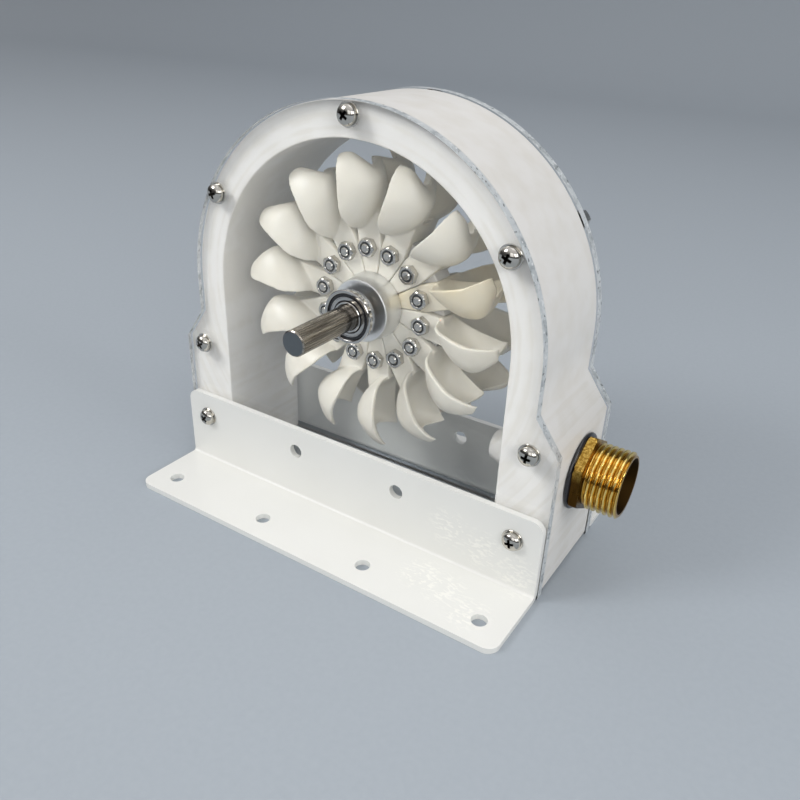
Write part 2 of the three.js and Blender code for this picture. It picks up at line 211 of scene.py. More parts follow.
def ramp(tree, value, low, high, to_low=0.0, to_high=1.0):
    """Stretches the span from low to high over another one and holds the ends."""
    return add(tree, "MapRange", {"Value": value, "From Min": low, "From Max": high,
                                  "To Min": to_low, "To Max": to_high}).outputs[0]


def maths(tree, operation, first, second):
    return add(tree, "Math", {0: first, 1: second}, operation=operation).outputs[0]


def times(tree, first, second):
    return maths(tree, "MULTIPLY", first, second)


def vector(tree, operation, *inputs):
    """A sum, product, length or distance of vectors."""
    node = add(tree, "VectorMath", dict(enumerate(inputs)), operation=operation)
    return node.outputs["Value" if operation in ("LENGTH", "DISTANCE") else "Vector"]


def mixed(tree, factor, *colours):
    """Mix of two colours, each a socket or an sRGB hex code."""
    first, second = (linear(c) if isinstance(c, str) else c for c in colours)
    return add(tree, "Mix", {0: factor, 6: first, 7: second}, data_type="RGBA").outputs[2]


def relief(tree, height, strength, depth, below=None):
    """Bump of this depth, laid over another one if it is given."""
    sockets = {"Height": height, "Strength": strength, "Distance": depth * MM}
    if below is not None:
        sockets["Normal"] = below
    return add(tree, "Bump", sockets).outputs[0]


def specks(tree, place, spacing, size, share):
    """Mask of small round specks: one in some cells of the given spacing."""
    cells = add(tree, "TexVoronoi", {"Vector": place, "Scale": per(spacing), "Randomness": 1.0})
    near = maths(tree, "LESS_THAN", cells.outputs["Distance"], size / spacing)
    split = add(tree, "SeparateColor", {"Color": cells.outputs["Color"]})
    chosen = maths(tree, "LESS_THAN", split.outputs["Red"], share)
    return times(tree, near, chosen)


def printed_white(look):
    """White ABS, sanded by hand: a broad soft shine, faint bands along the arch, some dust."""
    material, tree, place = start("White ABS, satin")
    cloud = noise(tree, place, 22, 3.0)
    plain = mixed(tree, cloud, look.white, look.white_shade)
    offset = vector(tree, "SUBTRACT", place, (CENTRE_X * MM, 0.0, ARCH_Z * MM))
    radius = vector(tree, "LENGTH", vector(tree, "MULTIPLY", offset, (1.0, 0.0, 1.0)))
    bands = add(tree, "TexNoise", {"W": radius, "Scale": per(2.2), "Detail": 2.0},
                noise_dimensions="1D").outputs["Fac"]
    broken = times(tree, bands, noise(tree, place, 8, 2.0))
    worn = mixed(tree, ramp(tree, broken, 0.2, 0.36, 0.0, 0.38), plain, "#D8D3C8")
    dust = times(tree, specks(tree, place, 11.0, 0.32, 0.16), 0.55)
    wave = noise(tree, place, 9, 2.0)
    waved = relief(tree, wave, 0.25, 0.12)
    colour = mixed(tree, dust, worn, "#7A7064")
    return finished(material, colour, ramp(tree, wave, 0.0, 1.0, 0.36, 0.5), {
        "IOR": 1.53, "Normal": relief(tree, noise(tree, place, 0.9, 2.0), 0.2, 0.03, waved)})


def cast_cream(look):
    """Warm white nylon, moulded: soft light inside thin rims, smooth satin face, few specks."""
    material, tree, place = start("Cream nylon, moulded")
    own = add(tree, "ObjectInfo").outputs["Random"]
    shift = vector(tree, "ADD", place, own)
    cloud = noise(tree, shift, 14, 3.0)
    base = mixed(tree, cloud, look.bucket, look.bucket_shade)
    dust = times(tree, specks(tree, shift, 7.0, 0.22, 0.10), 0.6)
    dusty = mixed(tree, dust, base, "#7C6A55")
    # A yellow tint on some of the buckets, picked at random by object and mottled by the cloud
    yellow_tint = times(tree, ramp(tree, own, 0.7, 0.95), cloud)
    grain = noise(tree, shift, 1.4, 3.0)
    waved = relief(tree, noise(tree, shift, 4.5, 1.0), 0.35, 0.5)
    colour = mixed(tree, yellow_tint, dusty, "#E2D3AE")
    return finished(material, colour, ramp(tree, grain, 0.0, 1.0, 0.3, 0.42), {
        "IOR": 1.53, "Normal": relief(tree, grain, 0.3, 0.05, waved), "Subsurface Weight": 0.2,
        "Subsurface Radius": (1.0, 0.9, 0.75), "Subsurface Scale": 0.8 * MM})


def powder_coat(look):
    """White powder coat on bent steel: glossy orange peel, and pale streaks near one end, which are
    painted reflections.
    """
    material, tree, place = start("White powder coat on steel")
    cloud = noise(tree, place, 30, 2.0)
    colour = mixed(tree, cloud, look.coat, look.coat_shade)
    rub = noise(tree, place, 6, 4.0, Distortion=1.5)
    peeled = relief(tree, noise(tree, place, 2.2, 1.0), 0.3, 0.05)
    nearest = None
    for spot in COAT_REFLECTION_SPOTS:
        away = vector(tree, "DISTANCE", place, [c * MM for c in spot])
        nearest = away if nearest is None else maths(tree, "MINIMUM", nearest, away)
    inside = ramp(tree, nearest, 9 * MM, 4 * MM)
    lengthwise = add(tree, "Mapping", {"Vector": place, "Rotation": (0.0, 0.0, 0.5),
                                       "Scale": (0.45, 1.0, 1.0)}).outputs[0]
    # Painted reflection: pale streaks near the listed spots, which also get a slight bump
    streak_noise = noise(tree, lengthwise, 0.9, 2.0, Distortion=0.5)
    raised = times(tree, ramp(tree, streak_noise, 0.52, 0.6), inside)
    colour = mixed(tree, times(tree, raised, 0.6), colour, "#FBFAF3")
    return finished(material, colour, ramp(tree, rub, 0.35, 0.7, 0.3, 0.38), {
        "IOR": 1.5, "Normal": relief(tree, raised, 0.35, 0.06, peeled)})


def clear_acrylic(look):
    """Clear cast acrylic: see-through with a sharp faint reflection and hairline scratches."""
    material, tree, place = start("Clear acrylic sheet")
    stretch = add(tree, "Mapping", {"Vector": place, "Rotation": (0.0, 0.5, 0.0),
                                    "Scale": (1.0, 1.0, 0.06)}).outputs[0]
    hairline = ramp(tree, noise(tree, stretch, 1.6, 2.0), 0.66, 0.72)
    glass = add(tree, "BsdfPrincipled", {
        "Base Color": linear(look.clear), "Roughness": 0.0, "IOR": 1.49,
        "Transmission Weight": 1.0, "Normal": relief(tree, hairline, 0.1, 0.02)})
    passing = add(tree, "BsdfTransparent", {"Color": linear("#FCFDFD")})
    shadow = add(tree, "LightPath").outputs["Is Shadow Ray"]
    return close(material, add(tree, "MixShader", {
        0: shadow, 1: glass.outputs[0], 2: passing.outputs[0]}))


def sawn_acrylic(look):
    """Sawn acrylic edge: greyish and frosted, with dark and pale dust in the saw marks."""
    material, tree, place = start("Acrylic edge, sawn")
    marks = noise(tree, place, 3.5, 4.0)
    smear = ramp(tree, marks, 0.48, 0.68)
    smeared = mixed(tree, smear, look.clear_edge, "#A9B0B3")
    crumbs = noise(tree, place, 1.1, 3.0)
    dark = mixed(tree, ramp(tree, crumbs, 0.62, 0.68), smeared, "#5E6467")
    colour = mixed(tree, ramp(tree, crumbs, 0.4, 0.34), dark, "#F6F8F9")
    return finished(material, colour, 0.32, {
        "IOR": 1.49, "Transmission Weight": 0.2, "Normal": relief(tree, marks, 0.4, 0.08)})


def metal(name, colour, roughness, spread, grain, stretch=None, anisotropy=0.0, depth=0.01,
          strength=0.2):
    """A bare metal with a roughness that wanders and fine tool marks.

    Its colour is an sRGB hex code, or a function of the tree, the place and the marks. The
    stretch draws out the marks, and anisotropy the light around the Y axis, as on turned faces.
    """
    material, tree, place = start(name)
    marks_at = place
    if stretch is not None:
        marks_at = add(tree, "Mapping", {"Vector": place, "Scale": stretch}).outputs[0]
    marks = noise(tree, marks_at, grain, 2.0)
    sockets = {"Metallic": 1.0, "Normal": relief(tree, marks, strength, depth)}
    if anisotropy:
        sockets["Anisotropic"] = anisotropy
        sockets["Tangent"] = add(tree, "Tangent", direction_type="RADIAL", axis="Y").outputs[0]
    rough = ramp(tree, noise(tree, place, 4, 3.0), 0.0, 1.0, roughness, roughness + spread)
    colour = colour(tree, place, marks) if callable(colour) else linear(colour)
    return finished(material, colour, rough, sockets)


def stainless():
    """Nickelled screw steel, rolled and bright: crisp small highlights, dark reflections."""
    return metal("Screw steel, nickelled", "#C2BFB8", 0.06, 0.07, 0.3)


def recess_shade_steel():
    """Screw steel in recesses and thread mouths, nearly black and dull: painted shade in the
    recesses.
    """
    return metal("Screw steel, oily", "#2B2926", 0.4, 0.15, 0.3)


def ground_steel():
    """Drawn and ground shaft steel: warm dark grey with fine paler streaks along its length, which
    are painted reflections.
    """
    def colour(tree, place, marks):
        # Painted reflections: paler streaks drawn out along the shaft's length
        return mixed(tree, ramp(tree, marks, 0.42, 0.66), "#7F7971", "#B9B3A9")
    return metal("Shaft steel, drawn and ground", colour, 0.2, 0.08, 0.45,
                 stretch=(1.0, 0.03, 1.0), depth=0.004)


def turned_end():
    """Faced shaft end: dark blue grey steel, dull and even."""
    return metal("Shaft steel, faced", "#74797C", 0.34, 0.08, 0.3)


def bearing_steel():
    """Polished bearing steel: near mirror with a slight warm grey."""
    return metal("Bearing steel, polished", "#B9B8B6", 0.08, 0.06, 0.12)


def turned_aluminium():
    """Turned aluminium: pale silver with a streak of light along the tool marks."""
    return metal("Aluminium, turned", "#F0F1F1", 0.32, 0.1, 0.12, stretch=(0.02, 1.0, 0.02),
                 anisotropy=0.6)


def thread_brass():
    """Machined brass: bright yellow crests, with painted shade darkening the thread's roots to
    brown.
    """
    def colour(tree, place, marks):
        across = add(tree, "Mapping", {"Vector": place, "Location": (0.0, 0.0, -INLET_Z * MM),
                                       "Scale": (0.0, 1.0, 1.0)}).outputs[0]
        # Painted shade: brown in the thread's roots, full yellow on the crests
        crest = ramp(tree, vector(tree, "LENGTH", across), 9.5 * MM, 10.1 * MM)
        return mixed(tree, crest, "#B98B35", "#F5D784")
    return metal("Brass, machined", colour, 0.1, 0.1, 0.25, depth=0.004)


def forged_brass():
    """Forged brass of the hexagon: grainy yellow skin, with painted shade turning its lower faces
    dark brown.
    """
    def colour(tree, place, marks):
        height = add(tree, "SeparateXYZ", {0: place}).outputs["Z"]
        bright = ramp(tree, noise(tree, place, 0.7, 2.0), 0.4, 0.65)
        skin = mixed(tree, bright, "#9A7630", "#D2AE5C")
        # Painted shade: dark brown on the lower faces, fading into the yellow skin upwards
        return mixed(tree, ramp(tree, height, 38 * MM, 43.5 * MM), "#4C3514", skin)
    return metal("Brass, forged", colour, 0.2, 0.12, 0.5, depth=0.05, strength=0.7)


def bore_shade_brass():
    """Brass inside the bore: dark brown and dull, painted shade of the deep bore."""
    return metal("Brass, stained inside", "#33240F", 0.5, 0.15, 0.8)


def seal_black():
    """Black nitrile rubber, moulded: dark, with the gloss of the bearing and inlet seals."""
    material, tree, place = start("Nitrile rubber, black")
    colour = mixed(tree, noise(tree, place, 0.6, 2.0), "#17171A", "#2A2A2E")
    return finished(material, colour, 0.18, {"IOR": 1.52})


def studio_paper(look):
    """Matt studio paper: pale and even, with a very faint tooth."""
    material, tree, place = start("Studio paper, matt")
    colour = mixed(tree, noise(tree, place, 2, 3.0), look.paper, "#A2AAB2")
    return finished(material, colour, 0.75, {})


# Shapes


def link(name, mesh):
    piece = bpy.data.objects.new(name, mesh)
    bpy.context.scene.collection.objects.link(piece)
    return piece


def shade(mesh, angle):
    """Smooth faces, with edges past the angle kept sharp."""
    work = bmesh.new()
    work.from_mesh(mesh)
    bmesh.ops.remove_doubles(work, verts=work.verts, dist=1e-6)
    bmesh.ops.dissolve_degenerate(work, edges=work.edges, dist=1e-7)
    bmesh.ops.recalc_face_normals(work, faces=work.faces)
    limit = math.radians(angle)
    for face in work.faces:
        face.smooth = True
    for edge in work.edges:
        edge.smooth = len(edge.link_faces) == 2 and edge.calc_face_angle(0.0) < limit
    work.to_mesh(mesh)
    work.free()


def from_lists(name, verts, faces, angle=35.0):
    mesh = bpy.data.meshes.new(name)
    mesh.from_pydata([[c * MM for c in v] for v in verts], [], faces)
    shade(mesh, angle)
    return link(name, mesh)


def settle(piece):
    """Turns what the modifiers show into the piece's own mesh."""
    seen = piece.evaluated_get(bpy.context.evaluated_depsgraph_get())
    done = bpy.data.meshes.new_from_object(seen)
    old = piece.data
    piece.modifiers.clear()
    piece.data = done
    done.name = piece.name
    bpy.data.meshes.remove(old)


def drop(pieces):
    """Removes helper pieces with their meshes."""
    for piece in pieces:
        mesh = piece.data
        bpy.data.objects.remove(piece)
        bpy.data.meshes.remove(mesh)


def join_or_cut(piece, tools, operation="DIFFERENCE"):
    for tool in tools:
        step = piece.modifiers.new("Cut", "BOOLEAN")
        step.operation = operation
        step.solver = "EXACT"
        step.object = tool
    settle(piece)
    drop(tools)


def soften(piece, width, rows):
    """Rounds the sharp edges and evens the shading beside them."""
    step = piece.modifiers.new("Round", "BEVEL")
    step.width = width * MM
    step.segments = rows
    step.limit_method = "ANGLE"
    step.angle_limit = math.radians(38.0)
    step.use_clamp_overlap = True
    settle(piece)
    shade(piece.data, 60.0)
    step = piece.modifiers.new("Even", "WEIGHTED_NORMAL")
    step.keep_sharp = True
    settle(piece)


def merge(name, pieces):
    """One piece out of several, with their materials kept."""
    whole = bmesh.new()
    kinds = []
    for piece in pieces:
        start_at = len(whole.faces)
        whole.from_mesh(piece.data)
        whole.faces.ensure_lookup_table()
        for face in whole.faces[start_at:]:
            material = piece.data.materials[face.material_index]
            if material not in kinds:
                kinds.append(material)
            face.material_index = kinds.index(material)
    mesh = bpy.data.meshes.new(name)
    whole.to_mesh(mesh)
    whole.free()
    for material in kinds:
        mesh.materials.append(material)
    drop(pieces)
    return link(name, mesh)


def turned_body(name, profile, count, axis="Y", centre=(0.0, 0.0, 0.0), angle=35.0):
    """Closed body about an axis.

    Each profile point is a radius, or a function of the angle that gives it, and a place. A
    radius of 0 makes a single point.
    """
    verts, rings, faces = [], [], []
    for radius, along in profile:
        steps = range(count if callable(radius) or radius else 1)
        rings.append([len(verts) + i for i in steps])
        for turn in (2 * math.pi * i / count for i in steps):
            size = radius(turn) if callable(radius) else radius
            verts.append((size * math.cos(turn), size * math.sin(turn), along))
    for first, second in zip(rings, rings[1:] + rings[:1]):
        for i in range(count):
            corners = [first[k % len(first)] for k in (i, (i + 1) % count)]
            corners += [second[k % len(second)] for k in ((i + 1) % count, i)]
            if len(set(corners)) > 2:
                faces.append(list(dict.fromkeys(corners)))
    if axis == "Y":
        verts = [(x, z, -y) for x, y, z in verts]
    elif axis == "X":
        verts = [(z, x, y) for x, y, z in verts]
    verts = [[a + b for a, b in zip(v, centre)] for v in verts]
    return from_lists(name, verts, faces, angle)


def rod(radius, low, high, axis, centre, count=48):
    profile = [(0, low), (radius, low), (radius, high), (0, high)]
    return turned_body("rod", profile, count, axis, centre)


def mirrored(profile, side):
    return [(radius, side * along) for radius, along in profile]


def prism(name, first, second):
    """Body between two outlines with the same number of points."""
    count = len(first)
    faces = [tuple(range(count)), tuple(reversed(range(count, 2 * count)))]
    faces += [(i, (i + 1) % count, count + (i + 1) % count, count + i) for i in range(count)]
    return from_lists(name, first + second, faces)


def slab(name, outline, low, high):
    """Flat body: an outline in X and Z, between two places on Y."""
    return prism(name, *([(x, y, z) for x, z in outline] for y in (low, high)))


def arc(radius, centre, first, last, steps):
    """Points on an arc, with the angles in degrees."""
    points = []
    for i in range(steps + 1):
        turn = math.radians(first + (last - first) * i / steps)
        points.append((centre[0] + radius * math.cos(turn), centre[1] + radius * math.sin(turn)))
    return points


def arch_outline(inset, bottom, steps=96):
    """Outline of the housing: an arch on a splayed foot, drawn in by the inset."""
    half, radius = HALF_FOOT - inset, PLATE_RADIUS - inset
    points = [(half, bottom), (half, FOOT_Z), (radius, SHOULDER_Z)]
    points += arc(radius, (0, ARCH_Z), 0, 180, steps)
    points += [(-radius, SHOULDER_Z), (-half, FOOT_Z), (-half, bottom)]
    return [(CENTRE_X + x, z) for x, z in points]


def hexagon(flats, most, corner=0.0):
    """Radius by angle of a hexagon turned down to a greatest radius, first corner in degrees."""
    def radius(turn):
        part = (math.degrees(turn) - corner) % 60.0 - 30.0
        return min(flats / 2 / math.cos(math.radians(part)), most)
    return radius


def paint(piece, *materials):
    """Gives a piece its materials. The first one covers it."""
    piece.data.materials.clear()
    for material in materials:
        piece.data.materials.append(material)
    return piece


def dress(piece, body, material=None, replaces=()):
    """Gives a piece its material, its body and the solids that it stands for."""
    if material is not None:
        paint(piece, material)
    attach(piece, body)
    if replaces:
        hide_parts(*replaces)


# Buckets: stations from the root to the tip, with slightly rounder tips than the solids have

BUCKET_STATIONS = (
    # rim, floor, ridge, half width, top, ridge top, bowl, back, valley,
    # roundness of the back and of the bowl, bend
    (24.0, 24.0, 24.0, 7.0, 4.3, 4.3, 4.3, 3.2, 3.2, 0.5, 0.95, 2.4),
    (25.0, 25.0, 25.0, 11.0, 3.6, 3.9, 3.5, 1.2, 1.3, 0.55, 0.95, 2.4),
    (27.0, 27.0, 27.0, 13.8, 3.6, 3.4, 1.8, -1.0, -1.0, 0.65, 0.95, 2.4),
    (30.2, 30.0, 30.1, 15.6, 3.8, 2.7, -1.9, -3.9, -2.7, 0.8, 0.95, 2.4),
    (34.6, 34.0, 34.2, 16.5, 3.7, 2.1, -4.4, -6.3, -3.4, 0.9, 0.95, 2.4),
    (38.8, 37.7, 38.5, 16.5, 3.6, 2.0, -5.3, -7.2, -3.1, 0.94, 0.94, 2.4),
    (42.5, 40.2, 41.6, 15.7, 4.1, 2.0, -4.9, -6.9, -2.6, 0.92, 0.92, 2.6),
    (45.9, 42.2, 43.6, 14.4, 4.7, 2.1, -3.4, -5.4, -1.8, 0.8, 0.8, 2.4),
    (48.3, 43.2, 44.8, 12.6, 5.1, 2.2, -1.6, -2.9, -0.4, 0.6, 0.6, 2.2),
)
STATION_STEPS = 5
LIP = 1.7
TIP_ROUND, TIP_ROUND_FROM = 0.35, 0.7
BOWL_CENTRE, BACK_CENTRE = 0.49, 0.52
TAB_INNER, TAB_OUTER = 8.1, 25.2
TAB_FROM, TAB_TO = 4.1, 6.8
TAB_HALF_WIDTH = 4.35
TAB_LAP = 0.1
NECK_OUTLINE = ((24.5, 4.35), (24.5, -4.35), (31, -4.35), (30, -3), (28, -0.4), (26.8, 1.6),
                (25.3, 4.35))
SKIN_CELL, SKIN_KEPT = 0.34, 0.17


def between(before, first, second, after, part):
    """Smooth curve through the middle two of four values."""
    a = 2 * first
    b = second - before
    c = 2 * before - 5 * first + 4 * second - after
    d = -before + 3 * first - 3 * second + after
    return 0.5 * (a + b * part + c * part ** 2 + d * part ** 3)


def station_at(place):
    """Bucket section between stations, by a running number from 0 to the last."""
    last = len(BUCKET_STATIONS) - 1
    index = min(int(place), last - 1)
    rows = [BUCKET_STATIONS[min(max(index + k, 0), last)] for k in (-1, 0, 1, 2)]
    return [between(*values, place - index) for values in zip(*rows)]


def round_rise(part, full):
    """Rise from 0 to 1 along an arc, which is a quarter circle where full is 1."""
    return (1 - math.sqrt(1 - (full * part) ** 2)) / (1 - math.sqrt(1 - full ** 2))


def bucket_lines(station, inner=12, outer=16):
    """Front and back points of half a section, from the middle ridge to the rim."""
    rim, floor, ridge, half, top, ridge_top, bowl, back, valley, full, cup, bend = station
    bowl_y, back_y, edge_y = half * BOWL_CENTRE, half * BACK_CENTRE, half - LIP

    def place(y, z):
        if y < bowl_y:
            radial = floor + (ridge - floor) * (1 - y / bowl_y) ** 1.3
        else:
            part = (y - bowl_y) / (half - bowl_y)
            end = max(0.0, (part - TIP_ROUND_FROM) / (1 - TIP_ROUND_FROM))
            rise = math.sin(math.pi / 2 * part) ** bend - TIP_ROUND * end ** 2
            radial = floor + (rim - floor) * rise
        return Vector((radial, y, z))

    front, behind = [], []
    for i in range(inner):
        part = math.cos(math.pi / 2 * i / inner)
        height = bowl + (ridge_top - bowl) * round_rise(part, cup)
        front.append(place(bowl_y * (1 - part), height))
        part = 1 - i / inner
        behind.append(place(back_y * (1 - part), back + (valley - back) * part ** 1.7))
    for i in range(outer + 1):
        part = math.sin(math.pi / 2 * i / outer)
        height = bowl + (top - bowl) * round_rise(part, cup)
        front.append(place(bowl_y + (edge_y - bowl_y) * part, height))
        height = back + (top - back) * round_rise(part, full)
        behind.append(place(back_y + (half - back_y) * part, height))
    return front, behind


def bucket_ring(front, behind):
    """Closed section out of the half lines and their mirror image."""
    half = front + behind[::-1]
    return half + [Vector((p.x, -p.y, p.z)) for p in reversed(half[1:-1])]


def bucket_body(name):
    """Double cup with a ridge, round lips and a notch, grown together with its forked root."""
    rings = []
    for i in range(STATION_STEPS * (len(BUCKET_STATIONS) - 1) + 1):
        rings.append(bucket_ring(*bucket_lines(station_at(i / STATION_STEPS))))
    count = len(rings[0])
    verts = [p for ring in rings for p in ring]
    faces = []
    for k in range(len(rings) - 1):
        for i in range(count):
            j = (i + 1) % count
            faces.append((k * count + i, k * count + j, (k + 1) * count + j, (k + 1) * count + i))
    last = count // 2
    for at in (0, (len(rings) - 1) * count):
        for i in range(last // 2):
            corners = (i, i + 1, last - i - 1, last - i)
            faces.append([at + c for c in corners])
            faces.append([at + (count - c) % count for c in corners])
    cups = from_lists(name, verts, faces, 50.0)
    half_pitch = math.pi / BUCKETS
    near = TAB_INNER * math.tan(half_pitch) - TAB_LAP
    straight = (TAB_HALF_WIDTH + TAB_LAP) / math.tan(half_pitch)
    outline = [(TAB_INNER, -near), (straight, -TAB_HALF_WIDTH), (TAB_OUTER, -TAB_HALF_WIDTH),
               (TAB_OUTER, TAB_HALF_WIDTH), (straight, TAB_HALF_WIDTH), (TAB_INNER, near)]
    tabs = [slab("tab", outline, *ends) for ends in ((-TAB_TO, -TAB_FROM), (TAB_FROM, TAB_TO))]
    neck = slab("neck", NECK_OUTLINE, -TAB_TO, TAB_TO)
    join_or_cut(cups, [neck, *tabs], "UNION")
    even_out(cups)
    return cups


def even_out(piece):
    """Melts joined bodies into one skin with soft corners, as a mould gives them."""
    step = piece.modifiers.new("Melt", "REMESH")
    step.mode = "VOXEL"
    step.voxel_size = SKIN_CELL * MM
    step = piece.modifiers.new("Soft", "SMOOTH")
    step.factor = 0.5
    step.iterations = 4
    step = piece.modifiers.new("Fewer", "DECIMATE")
    step.ratio = SKIN_KEPT
    settle(piece)
    for face in piece.data.polygons:
        face.use_smooth = True


# What a user can change


class PELTON_PG_looks(bpy.types.PropertyGroup):
    """Colours of the wheel's finishes, as sRGB codes"""

    white: bpy.props.StringProperty(
        name="Housing white", default="#ECEAE6",
        description="Main colour of the housing frame and the disc")
    white_shade: bpy.props.StringProperty(
        name="Housing shade", default="#E4E2DE", description="Second colour of the faint mottling")
    bucket: bpy.props.StringProperty(
        name="Bucket cream", default="#E7E4DA", description="Main colour of the buckets")
    bucket_shade: bpy.props.StringProperty(
        name="Bucket shade", default="#E0DACB", description="Second colour of the buckets")
    coat: bpy.props.StringProperty(
        name="Bracket white", default="#EEEEEA", description="Main colour of the brackets")
    coat_shade: bpy.props.StringProperty(
        name="Bracket shade", default="#E8E8E3", description="Second colour of the brackets")
    clear: bpy.props.StringProperty(
        name="Acrylic tint", default="#FFFFFF", description="Tint of the clear plates")
    clear_edge: bpy.props.StringProperty(
        name="Acrylic edge", default="#DCE1E3", description="Colour of the sawn plate edges")
    paper: bpy.props.StringProperty(
        name="Floor", default="#A9B1B8", description="Colour of the studio floor")


class PELTON_PG_sizes(bpy.types.PropertyGroup):
    """Small sizes that the solids leave open"""

    frame_edge: bpy.props.FloatProperty(
        name="Housing edge", description="Rounding of the housing frame's edges",
        default=0.5 * MM, min=0.1 * MM, max=1.0 * MM, unit="LENGTH", precision=5)
    plate_edge: bpy.props.FloatProperty(
        name="Plate edge", description="Rounding of the clear plates' edges",
        default=0.15 * MM, min=0.05 * MM, max=0.4 * MM, unit="LENGTH", precision=5)
    bracket_edge: bpy.props.FloatProperty(
        name="Bracket edge", description="Rounding of the coated bracket edges",
        default=0.28 * MM, min=0.1 * MM, max=0.8 * MM, unit="LENGTH", precision=5)
    head_width: bpy.props.FloatProperty(
        name="Screw head", description="Width of the pan heads",
        default=6.0 * MM, min=5.0 * MM, max=6.2 * MM, unit="LENGTH", precision=5)
    key_power: bpy.props.FloatProperty(
        name="Main light", description="Power setting that all the soft lights follow",
        default=9.0, min=0.0, max=200.0, unit="POWER")


# Operators


class PELTON_OT_housing_frame(bpy.types.Operator):
    """Builds the white arch-shaped housing frame"""

    bl_idname = "pelton.housing_frame"
    bl_label = "Housing frame"

    def execute(self, context):
        scene = context.scene
        opening = [(-CHAMBER_RADIUS, FRAME_BOTTOM)]
        opening += arc(CHAMBER_RADIUS, (0, ARCH_Z), 180, 0, 96)
        opening += [(CHAMBER_RADIUS, FRAME_BOTTOM)]
        outline = arch_outline(FRAME_INSET, FRAME_BOTTOM)
        outline += [(CENTRE_X + x, z) for x, z in opening]
        body = slab("housing_frame_shell", outline, -PLATE_IN + 0.1, PLATE_IN - 0.1)
        join_or_cut(body, [rod(INLET_HOLE, 52.0, 74.0, "X", INLET_LINE, 64)])
        soften(body, scene.pelton_sizes.frame_edge / MM, 3)
        white = printed_white(scene.pelton_looks)
        dress(body, "housing", white, ["housing_frame"])
        return {"FINISHED"}


class PELTON_OT_clear_plates(bpy.types.Operator):
    """Builds the two clear plates with their holes and sawn edges"""

    bl_idname = "pelton.clear_plates"
    bl_label = "Clear plates"

    def execute(self, context):
        looks = context.scene.pelton_looks
        clear, sawn = clear_acrylic(looks), sawn_acrylic(looks)
        for side, name in SIDES:
            low, high = sorted((side * PLATE_IN, side * PLATE_OUT))
            body = slab(f"{name}_clear_plate", arch_outline(0, 0, 128), low, high)
            tools = [rod(BEARING_HOLE, low - 1, high + 1, "Y", SHAFT_LINE, 96)]
            for x, z in SCREW_PLACES + BRACKET_SCREWS:
                centre = (CENTRE_X + x, 0, z)
                tools.append(rod(SCREW_HOLE, low - 1, high + 1, "Y", centre, 32))
            join_or_cut(body, tools)
            soften(body, context.scene.pelton_sizes.plate_edge / MM, 1)
            dress(body, "housing", clear, [f"{name}_plate"])
            body.data.materials.append(sawn)
            for face in body.data.polygons:
                middle = face.center / MM
                around = math.hypot(middle.x - CENTRE_X, middle.z - SHAFT_Z)
                # Every edge looks sawn but the bearing hole's
                if abs(face.normal.y) < 0.9 and around > 20:
                    face.material_index = 1
        return {"FINISHED"}


class PELTON_OT_brackets(bpy.types.Operator):
    """Builds the two coated angle brackets"""

    bl_idname = "pelton.brackets"
    bl_label = "Angle brackets"

    def execute(self, context):
        material = powder_coat(context.scene.pelton_looks)
        bend = (BEND_OUT, BEND_OUT)
        section = arc(BEND_OUT, bend, 180, 270, 10)
        section += [(BRACKET_LEG, 0), (BRACKET_LEG, BRACKET_SHEET)]
        section += arc(BEND_IN, bend, 270, 180, 10)
        section += [(BRACKET_SHEET, BRACKET_LEG), (0, BRACKET_LEG)]
        for side, name in SIDES:
            body = prism(f"{name}_angle_bracket", *(
                [(CENTRE_X + end, side * (BRACKET_HEEL + a), b) for a, b in section]
                for end in (-BRACKET_HALF, BRACKET_HALF)))
            round_bracket_corners(body)
            low, high = sorted((side * (BRACKET_HEEL - 1), side * (BRACKET_HEEL + 3)))
            tools = []
            for x in BRACKET_HOLES_X:
                upright = (CENTRE_X + x, 0, HOLE_FROM_HEEL)
                flat = (CENTRE_X + x, side * (BRACKET_HEEL + HOLE_FROM_HEEL), 0)
                tools.append(rod(BRACKET_HOLE, low, high, "Y", upright))
                tools.append(rod(BRACKET_HOLE, -1, 3, "Z", flat))
            join_or_cut(body, tools)
            soften(body, context.scene.pelton_sizes.bracket_edge / MM, 3)
            dress(body, "housing", material, [f"{name}_bracket"])
        return {"FINISHED"}


def round_bracket_corners(body):
    """Rounds the four free corners of a bracket, seen flat on each leg."""
    work = bmesh.new()
    work.from_mesh(body.data)
    edge_of_leg = BRACKET_LEG - 0.01
    corners = []
    for edge in work.edges:
        a, b = (v.co / MM for v in edge.verts)
        middle = (a + b) / 2
        across = [abs(abs(c) - BRACKET_SHEET) < 0.01 for c in a - b]
        at_end = abs(abs(middle.x - CENTRE_X) - BRACKET_HALF) < 0.01
        up = middle.z > edge_of_leg and across[1]
        out = abs(middle.y) > BRACKET_HEEL + edge_of_leg and across[2]
        if at_end and (up or out):
            corners.append(edge)
    if len(corners) != 4:
        raise RuntimeError("the bracket's corners were not found")
    bmesh.ops.bevel(work, geom=corners, offset=BRACKET_CORNER * MM, segments=10, profile=0.5,
                    affect="EDGES")
    work.to_mesh(body.data)
    work.free()


class PELTON_OT_inlet(bpy.types.Operator):
    """Builds the brass inlet fitting, its helical pipe thread, its seal and the nozzle"""

    bl_idname = "pelton.inlet"
    bl_label = "Inlet fitting"

    def execute(self, context):
        nozzle = turned_body("inlet_nozzle", NOZZLE_PROFILE, 96, "X", INLET_LINE, 30.0)
        dress(nozzle, "housing", printed_white(context.scene.pelton_looks))
        fitting = merge("inlet_fitting_brass", [inlet_pipe(), inlet_hexagon()])
        dress(fitting, "housing", None, ["inlet_fitting"])
        seal = turned_body("inlet_rubber_seal", SEAL_PROFILE, 128, "X", INLET_LINE, 60.0)
        dress(seal, "housing", seal_black(), ["inlet_seal"])
        return {"FINISHED"}


